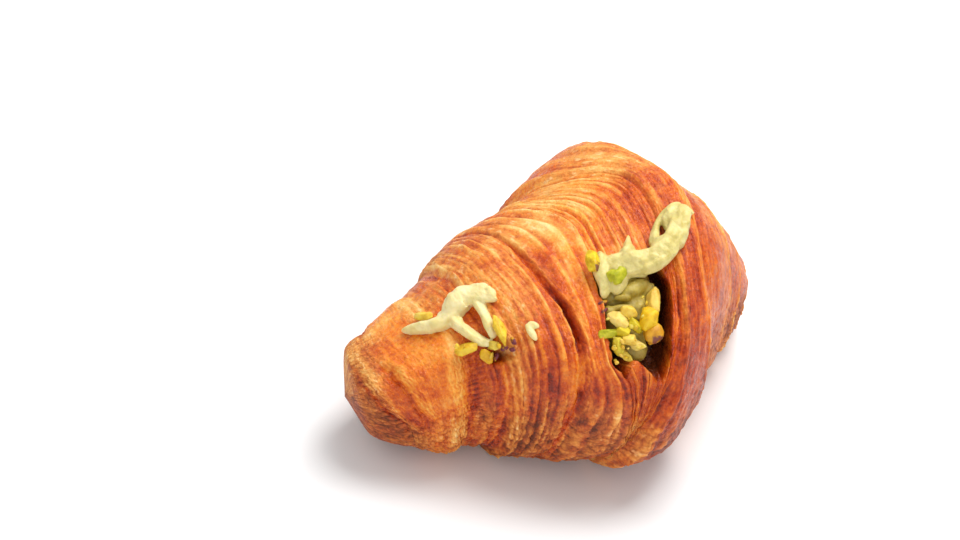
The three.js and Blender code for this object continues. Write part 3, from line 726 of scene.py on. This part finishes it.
def lump_surface(along, turn, out, half, spin, rings=22, sides=30):
    """A lump of cream: an ellipsoid swollen and dented by noise in space."""
    points = set_down(ball_directions(rings, sides) * half, along, turn, out, spin)
    centre = points.mean(axis=0)
    swell = 0.10 * noise_space(points, 4.5, 73) + 0.06 * noise_space(points, 1.6, 74)
    points = centre + (points - centre) * (1 + swell[:, None])
    return points, outward_faces(points, tube_faces(rings, sides))


def gathered(surfaces):
    """Several closed surfaces as one set of points and faces."""
    points, blocks, count = [], [], 0
    for part, faces in surfaces:
        points.append(part)
        blocks += [block + count for block in faces]
        count += len(part)
    return np.concatenate(points), blocks


def cream_piece(name, surfaces, material, replaced, voxel=0.32):
    """Lumps and ropes of cream melted together by a voxel remesh and smoothed."""
    points, blocks = gathered(surfaces)
    piece = mesh_piece(name, points, blocks, material, replaced)
    melt = piece.modifiers.new("melt", "REMESH")
    melt.mode, melt.voxel_size, melt.use_smooth_shade = "VOXEL", voxel * MM, True
    ease = piece.modifiers.new("ease", "SMOOTH")
    ease.factor, ease.iterations = 0.5, 2
    return piece


def broken_shape(half, seed, rings, sides):
    """A broken nut: the softened meeting of flat faces at random tilts, so that the distance to the
    surface in a direction is the power mean of the distances to the faces it looks at."""
    random = np.random.default_rng(seed)
    count = 8
    normals = random.normal(size=(count, 3))
    normals /= np.linalg.norm(normals, axis=1, keepdims=True)
    normals = np.concatenate([normals, -normals[:4]])
    reach = random.uniform(0.8, 1.15, len(normals))
    directions = ball_directions(rings, sides)
    facing = np.maximum(directions @ normals.T, 0) / reach
    power = 26
    radius = np.minimum((facing ** power).sum(axis=1) ** (-1 / power), 1.35)
    skin = facing[:, 0] >= facing.max(axis=1) - 0.03
    rough = 1 + 0.05 * noise_space(directions * radius[:, None] * max(half), 1.1, seed)
    shape = directions * (radius * rough)[:, None]
    return shape / np.abs(shape).max(axis=0) * half, skin.astype(float)


def pistachio(name, node, nut, seed, material):
    """One chopped pistachio, rounded and broken, tinted green, amber or pale, with a scrap of skin."""
    along, turn, out, half, spin, green, amber, pale = nut
    rings, sides = 26, 36
    tilt = (seed * 37) % (2 * NUT_TILT) - NUT_TILT
    shape, skin = broken_shape(half, seed, rings, sides)
    points = set_down(shape * NUT_GROWTH, along, turn, out, spin, tilt)
    tone = dict(green=green, amber=amber, pale=pale)
    channels = {key: np.full(len(points), value) for key, value in tone.items()}
    channels["skin"] = skin * (0.9 if seed % SKIN_EVERY == 3 else 0.0)
    mesh_piece(name, points, outward_faces(points, tube_faces(rings, sides)), material, [node],
               channels=channels)


def crumbs_piece(material):
    """Crumbs of pistachio scattered over the cream and round the larger pieces, and scraps of skin."""
    random = np.random.default_rng(17)
    hosts = [(*nut[:3], 1.0) for nut in SLIT_PISTACHIOS[:12]]
    hosts += [(*nut[:3], 0.8) for nut in SIDE_PISTACHIOS[1:]]
    surfaces, tones = [], []
    for k in range(CRUMBS):
        along, turn, out, spread = hosts[random.integers(len(hosts))]
        size = random.uniform(0.4, 1.0)
        half = size * random.uniform(0.6, 1.2, 3)
        shape, _ = broken_shape(half, 300 + k, 6, 9)
        aside, round_ = np.clip(random.normal(0, 1.4, 2), -2.4, 2.4) * spread
        place = (along + aside, turn + 1.3 * round_, out + random.uniform(0.4, 1.8))
        points = set_down(shape, *place, random.uniform(0, 360))
        surfaces.append((points, outward_faces(points, tube_faces(6, 9))))
        tone = [random.random() * 0.8, random.random() * 0.6, random.random() * 0.4, 0.0]
        tones.append(np.tile(tone, (len(points), 1)))
    for k, (along, turn, out, half) in enumerate(SKIN_SCRAPS):
        shape, _ = broken_shape(half, 500 + k, 6, 9)
        points = set_down(shape, along, turn, out, 25 * k)
        surfaces.append((points, outward_faces(points, tube_faces(6, 9))))
        tones.append(np.tile([0.0, 0.6, 0.0, 1.0], (len(points), 1)))
    points, blocks = gathered(surfaces)
    green, amber, pale, skin = np.concatenate(tones).T
    mesh_piece("pistachio_crumbs", points, blocks, material,
               channels=dict(green=green, amber=amber, pale=pale, skin=skin))


# ------------------------------------------------------------------ finishes


def srgb(red, green, blue):
    """A screen colour of 0 to 255 as the linear colour that a shader socket takes."""
    def linear(value):
        c = value / 255
        return c / 12.92 if c <= 0.04045 else ((c + 0.055) / 1.055) ** 2.4
    return (linear(red), linear(green), linear(blue), 1.0)


class Finish:
    """A small maker of node materials: add() makes a node, sets its sockets and links what is a socket."""

    def __init__(self, name):
        self.material = bpy.data.materials.new(name)
        self.material.use_nodes = True
        self.tree = self.material.node_tree
        self.shader = self.tree.nodes["Principled BSDF"]

    def put(self, socket, value):
        if isinstance(value, bpy.types.NodeSocket):
            self.tree.links.new(value, socket)
        else:
            socket.default_value = value

    def add(self, kind, out=0, settings=None, **sockets):
        made = self.tree.nodes.new("ShaderNode" + kind)
        for key, value in (settings or {}).items():
            setattr(made, key, value)
        for key, value in sockets.items():
            index = int(key[1:]) if key[0] == "i" and key[1:].isdigit() else key.replace("_", " ")
            self.put(made.inputs[index], value)
        return made.outputs[out]

    def surface(self, **sockets):
        for key, value in sockets.items():
            self.put(self.shader.inputs[key.replace("_", " ")], value)

    def channel(self, name):
        return self.add("Attribute", out="Fac", settings={"attribute_name": name})

    def maths(self, operation, a, b=0.0, clamp=False):
        return self.add("Math", settings={"operation": operation, "use_clamp": clamp}, i0=a, i1=b)

    def noise(self, vector, scale, detail=3.0, roughness=0.55, stretch=(1, 1, 1)):
        scaled = self.add("Mapping", Vector=vector, Scale=stretch)
        return self.add("TexNoise", Vector=scaled, Scale=scale, Detail=detail, Roughness=roughness)

    def spread(self, value, low, high, to_low=0.0, to_high=1.0):
        return self.add("MapRange", i0=value, i1=low, i2=high, i3=to_low, i4=to_high)

    def ramp(self, value, stops):
        made = self.tree.nodes.new("ShaderNodeValToRGB")
        stop = made.color_ramp.elements
        while len(stop) < len(stops):
            stop.new(0.5)
        for element, (place, colour) in zip(stop, stops):
            element.position = place
        for element, (place, colour) in zip(stop, stops):
            element.color = colour
        self.put(made.inputs[0], value)
        return made.outputs[0]

    def blend(self, amount, a, b):
        made = self.tree.nodes.new("ShaderNodeMix")
        made.data_type = "RGBA"
        self.put(made.inputs[0], amount)
        self.put(made.inputs[6], a)
        self.put(made.inputs[7], b)
        return made.outputs[2]

    def bump(self, height, strength, distance):
        return self.add("Bump", Height=height, Strength=strength, Distance=distance)


def crust_finish():
    """Baked dough: a tan, flaky crust and an orange glazed one, each from pale to dark by the map of
    bake and painted light and shade, mixed by the glaze map. Threads run along the wraps, small scales
    and crackle break them up, with painted shade in the cracks, pale flour-dry flecks lie on the crests,
    and the glaze is glossier where it is dark. The slit and the nozzle hole take a dark brown as painted
    shade."""
    f = Finish("baked_crust")
    grain = f.add("UVMap", settings={"uv_map": "grain"})
    place = f.add("TexCoord", out="Object")
    bake_and_painted_light, glaze, cut = f.channel("bake_and_painted_light"), f.channel("glaze"), f.channel("cut")
    flaky, hollow = f.channel("flaky"), f.channel("hollow")
    smooth_tip = f.spread(flaky, 0.75, 1.0, 1.0, 0.15)
    streak = f.noise(grain, 1000, 3, 0.6, (1, 0.07, 1))
    fine = f.noise(grain, 2300, 2, 0.6, (1, 0.16, 1))
    patch = f.noise(place, 150, 4, 0.62)
    mottle = f.noise(place, 480, 4, 0.65)
    speck = f.noise(place, 1300, 3, 0.65)
    scales = f.add("Mapping", Vector=grain, Scale=(1, 0.5, 1))
    crackle = f.add("TexVoronoi", settings={"feature": "DISTANCE_TO_EDGE"}, Vector=scales, Scale=620.0)
    crack = f.spread(crackle, 0.0, 0.10, 1.0, 0.0)
    scale = f.add("TexVoronoi", settings={"feature": "SMOOTH_F1"}, Vector=scales, Scale=800.0)
    dry_crack = f.maths("MULTIPLY", crack, f.spread(flaky, 0.0, 1.0, 0.25, 1.0))
    threads = f.maths("ADD", f.spread(streak, 0.3, 0.7, -0.09, 0.09), f.spread(fine, 0.3, 0.7, -0.05, 0.05))
    level = f.maths("ADD", bake_and_painted_light, f.maths("MULTIPLY", threads, smooth_tip))
    level = f.maths("ADD", level, f.spread(patch, 0.3, 0.7, -0.10, 0.10))
    level = f.maths("ADD", level, f.spread(mottle, 0.3, 0.7, -0.10, 0.10))
    level = f.maths("ADD", level, f.spread(speck, 0.3, 0.7, -0.08, 0.08))
    # Darker along the cracks of the crackle: painted shade.
    level = f.maths("ADD", level, f.maths("MULTIPLY", dry_crack, 0.10), clamp=True)
    dry = f.ramp(level, [
        (0.0, srgb(252, 214, 144)), (0.2, srgb(243, 183, 101)), (0.4, srgb(225, 145, 65)),
        (0.6, srgb(194, 108, 42)), (0.8, srgb(150, 72, 26)), (1.0, srgb(96, 44, 18)),
    ])
    glazed = f.ramp(level, [
        (0.0, srgb(252, 192, 92)), (0.2, srgb(246, 160, 57)), (0.4, srgb(234, 124, 27)),
        (0.6, srgb(206, 86, 12)), (0.8, srgb(170, 52, 6)), (1.0, srgb(116, 28, 6)),
    ])
    shine = f.maths("ADD", glaze, f.spread(patch, 0.3, 0.7, -0.2, 0.2))
    shine = f.maths("ADD", shine, f.spread(mottle, 0.3, 0.7, 0.25, -0.25), clamp=True)
    colour = f.blend(shine, dry, glazed)
    chip = f.noise(grain, 1100, 2, 0.6, (1, 0.22, 1))
    fleck = f.maths("MULTIPLY", f.spread(chip, 0.56, 0.70), f.spread(level, 0.35, 0.65, 1.0, 0.0))
    fleck = f.maths("MULTIPLY", fleck, f.spread(glaze, 0.4, 1.0, 0.65, 0.12))
    colour = f.blend(fleck, colour, srgb(254, 218, 156))
    # A dark brown laid over the slit and the nozzle hole: painted shade in the hollows.
    painted_hollow_shade = f.ramp(mottle, [(0.3, srgb(44, 15, 4)), (0.7, srgb(116, 52, 20))])
    colour = f.blend(f.spread(hollow, 0.02, 0.5), colour, painted_hollow_shade)
    gloss = f.spread(shine, 0.0, 1.0, 0.60, 0.25)
    gloss = f.maths("ADD", gloss, f.maths("MULTIPLY", cut, 0.12))
    height = f.maths("ADD", f.maths("MULTIPLY", streak, 0.6), f.maths("MULTIPLY", fine, 0.25))
    height = f.maths("MULTIPLY", height, smooth_tip)
    height = f.maths("ADD", height, f.maths("MULTIPLY", speck, 0.35))
    height = f.maths("ADD", height, f.maths("MULTIPLY", mottle, 0.9))
    height = f.maths("ADD", height, f.maths("MULTIPLY", scale, -0.45))
    height = f.maths("ADD", height, f.maths("MULTIPLY", dry_crack, -0.2))
    f.surface(Base_Color=colour, Roughness=gloss, Normal=f.bump(height, 0.9, 0.0009))
    f.surface(Subsurface_Weight=0.06, Subsurface_Radius=(1.0, 0.35, 0.12), Subsurface_Scale=0.002)
    f.surface(Specular_IOR_Level=0.34)
    return f.material


def cream_finish(name, light, deep, olive):
    """Pistachio cream: smooth, a little waxy, tinted in broad soft patches from light to deep, with
    olive smears where nut paste shows, drawn-out furrows and fine pores."""
    f = Finish(name)
    place = f.add("TexCoord", out="Object")
    broad = f.noise(place, 190, 3, 0.55)
    smear = f.noise(place, 420, 3, 0.6, (1, 0.4, 1))
    pores = f.noise(place, 1500, 3, 0.6)
    colour = f.blend(f.spread(broad, 0.35, 0.65), light, deep)
    colour = f.blend(f.spread(smear, 0.55, 0.72, 0.0, 0.55), colour, olive)
    height = f.maths("ADD", f.maths("MULTIPLY", smear, 1.0), f.maths("MULTIPLY", pores, 0.3))
    height = f.maths("ADD", height, f.maths("MULTIPLY", broad, 0.6))
    gloss = f.spread(broad, 0.3, 0.7, 0.34, 0.5)
    f.surface(Base_Color=colour, Roughness=gloss, Normal=f.bump(height, 0.7, 0.0008))
    f.surface(Subsurface_Weight=0.35, Subsurface_Radius=(1.0, 0.75, 0.35), Subsurface_Scale=0.0014)
    f.surface(Specular_IOR_Level=0.5)
    return f.material


def pistachio_finish():
    """Chopped pistachio: yellow nut flesh, tinted green, amber or pale by its own channels, mottled,
    with fine broken grain and scraps of purple skin."""
    f = Finish("pistachio_flesh")
    place = f.add("TexCoord", out="Object")
    mottle = f.noise(place, 420, 3, 0.6)
    grain = f.noise(place, 1800, 3, 0.65)
    colour = f.ramp(mottle, [(0.3, srgb(210, 162, 8)), (0.5, srgb(232, 190, 16)), (0.72, srgb(244, 216, 48))])
    leaf = f.ramp(mottle, [(0.3, srgb(140, 142, 10)), (0.5, srgb(176, 176, 18)), (0.72, srgb(212, 204, 56))])
    honey = f.ramp(mottle, [(0.3, srgb(176, 112, 10)), (0.6, srgb(214, 158, 34))])
    ivory = f.ramp(mottle, [(0.3, srgb(220, 188, 92)), (0.6, srgb(236, 214, 140))])
    colour = f.blend(f.channel("green"), colour, leaf)
    colour = f.blend(f.channel("amber"), colour, honey)
    colour = f.blend(f.channel("pale"), colour, ivory)
    skin = f.maths("MULTIPLY", f.channel("skin"), f.spread(mottle, 0.40, 0.5))
    colour = f.blend(skin, colour, srgb(112, 46, 56))
    height = f.maths("ADD", f.maths("MULTIPLY", mottle, 0.8), f.maths("MULTIPLY", grain, 0.5))
    f.surface(Base_Color=colour, Roughness=f.spread(grain, 0.3, 0.7, 0.36, 0.55))
    f.surface(Normal=f.bump(height, 0.7, 0.0005), Specular_IOR_Level=0.35)
    f.surface(Subsurface_Weight=0.3, Subsurface_Radius=(1.0, 0.8, 0.15), Subsurface_Scale=0.0012)
    return f.material


# ------------------------------------------------------------------ stage, light and camera

CAMERA = dict(azimuth=34.8, elevation=34.7, roll=4.0, distance=555, lens=65.1)
AIM = (-28.9, 11.2, 30)


def stage_floor():
    """A plain pale floor."""
    f = Finish("pale_floor")
    f.surface(Base_Color=(0.9, 0.9, 0.9, 1), Roughness=0.9, Specular_IOR_Level=0.1)
    half = 3000 * MM
    mesh = bpy.data.meshes.new("floor")
    corners = [(-half, -half, 0), (half, -half, 0), (half, half, 0), (-half, half, 0)]
    mesh.from_pydata(corners, [], [(0, 1, 2, 3)])
    mesh.materials.append(f.material)
    floor = bpy.data.objects.new("floor", mesh)
    bpy.context.scene.collection.objects.link(floor)


def soft_light(name, place, aim, size, power):
    """A square soft box at a place, in metres, turned to face its aim."""
    light = bpy.data.lights.new(name, "AREA")
    light.shape, light.size, light.energy = "SQUARE", size, power
    lamp = bpy.data.objects.new(name, light)
    lamp.location = place
    lamp.rotation_euler = (Vector(aim) - Vector(place)).to_track_quat("-Z", "Y").to_euler()
    bpy.context.scene.collection.objects.link(lamp)


def studio():
    """A bright white surround, a big soft box overhead to the right and a weak fill from the front."""
    world = bpy.data.worlds.new("surround")
    world.use_nodes = True
    world.node_tree.nodes["Background"].inputs["Color"].default_value = (1, 1, 1, 1)
    world.node_tree.nodes["Background"].inputs["Strength"].default_value = 0.62
    bpy.context.scene.world = world
    soft_light("key", (0.25, 0.05, 0.75), (0, 0, 0.03), 0.45, 6.0)
    soft_light("fill", (-0.45, -0.7, 0.35), (0, 0, 0.03), 0.5, 1.5)
    bpy.context.scene.view_settings.view_transform = "Standard"


def place_camera():
    """The camera: an azimuth and elevation round the aim point, then a small roll."""
    turn, rise, roll = (CAMERA[key] * DEGREE for key in ("azimuth", "elevation", "roll"))
    back = Vector((-math.sin(turn) * math.cos(rise), -math.cos(turn) * math.cos(rise), math.sin(rise)))
    right = Vector((math.cos(turn), -math.sin(turn), 0))
    above = back.cross(right)
    aim = Vector((-CENTRE_X, -CENTRE_Y, AIM[2])) + right * AIM[0] + above * AIM[1]
    x_axis = right * math.cos(roll) + above * math.sin(roll)
    y_axis = above * math.cos(roll) - right * math.sin(roll)
    eye = (aim + back * CAMERA["distance"]) * MM
    data = bpy.data.cameras.new("camera")
    data.lens, data.sensor_width, data.clip_start = CAMERA["lens"], 36, 0.01
    camera = bpy.data.objects.new("camera", data)
    camera.matrix_world = Matrix((
        (x_axis.x, y_axis.x, back.x, eye.x), (x_axis.y, y_axis.y, back.y, eye.y),
        (x_axis.z, y_axis.z, back.z, eye.z), (0, 0, 0, 1),
    ))
    bpy.context.scene.collection.objects.link(camera)
    bpy.context.scene.camera = camera


place_camera()
studio()
stage_floor()
crust_mesh(crust_finish())
cream = cream_finish("piped_cream", srgb(228, 214, 142), srgb(202, 184, 104), srgb(168, 150, 58))
# A darker copy of the cream for the lumps down in the slit: painted shade.
shaded_inner_cream = cream_finish("shaded_inner_cream", srgb(206, 186, 92), srgb(166, 142, 44), srgb(124, 104, 26))
side_cream = cream_finish("side_cream", srgb(242, 228, 174), srgb(226, 208, 136), srgb(194, 186, 104))
flesh = pistachio_finish()
cream_piece("piped_cream", [rope_surface(course) for course in SLIT_ROPES], cream, ["cream_slit"])
cream_piece("shaded_inner_cream", [lump_surface(*lump) for lump in INNER_LUMPS], shaded_inner_cream, [])
smears = [rope_surface(course) for course in SIDE_ROPES] + [lump_surface(*lump) for lump in SIDE_LUMPS]
cream_piece("smeared_cream", smears, side_cream, ["cream_side"])
cream_piece("cream_fleck_soft", [lump_surface(*lump) for lump in FLECK_LUMPS], side_cream, ["cream_fleck"])
for number, nut in enumerate(SLIT_PISTACHIOS, 1):
    pistachio(f"chopped_slit_{number}", f"pistachio_slit_{number}", nut, number, flesh)
for number, nut in enumerate(SIDE_PISTACHIOS, 1):
    pistachio(f"chopped_side_{number}", f"pistachio_side_{number}", nut, 40 + number, flesh)
crumbs_piece(flesh)
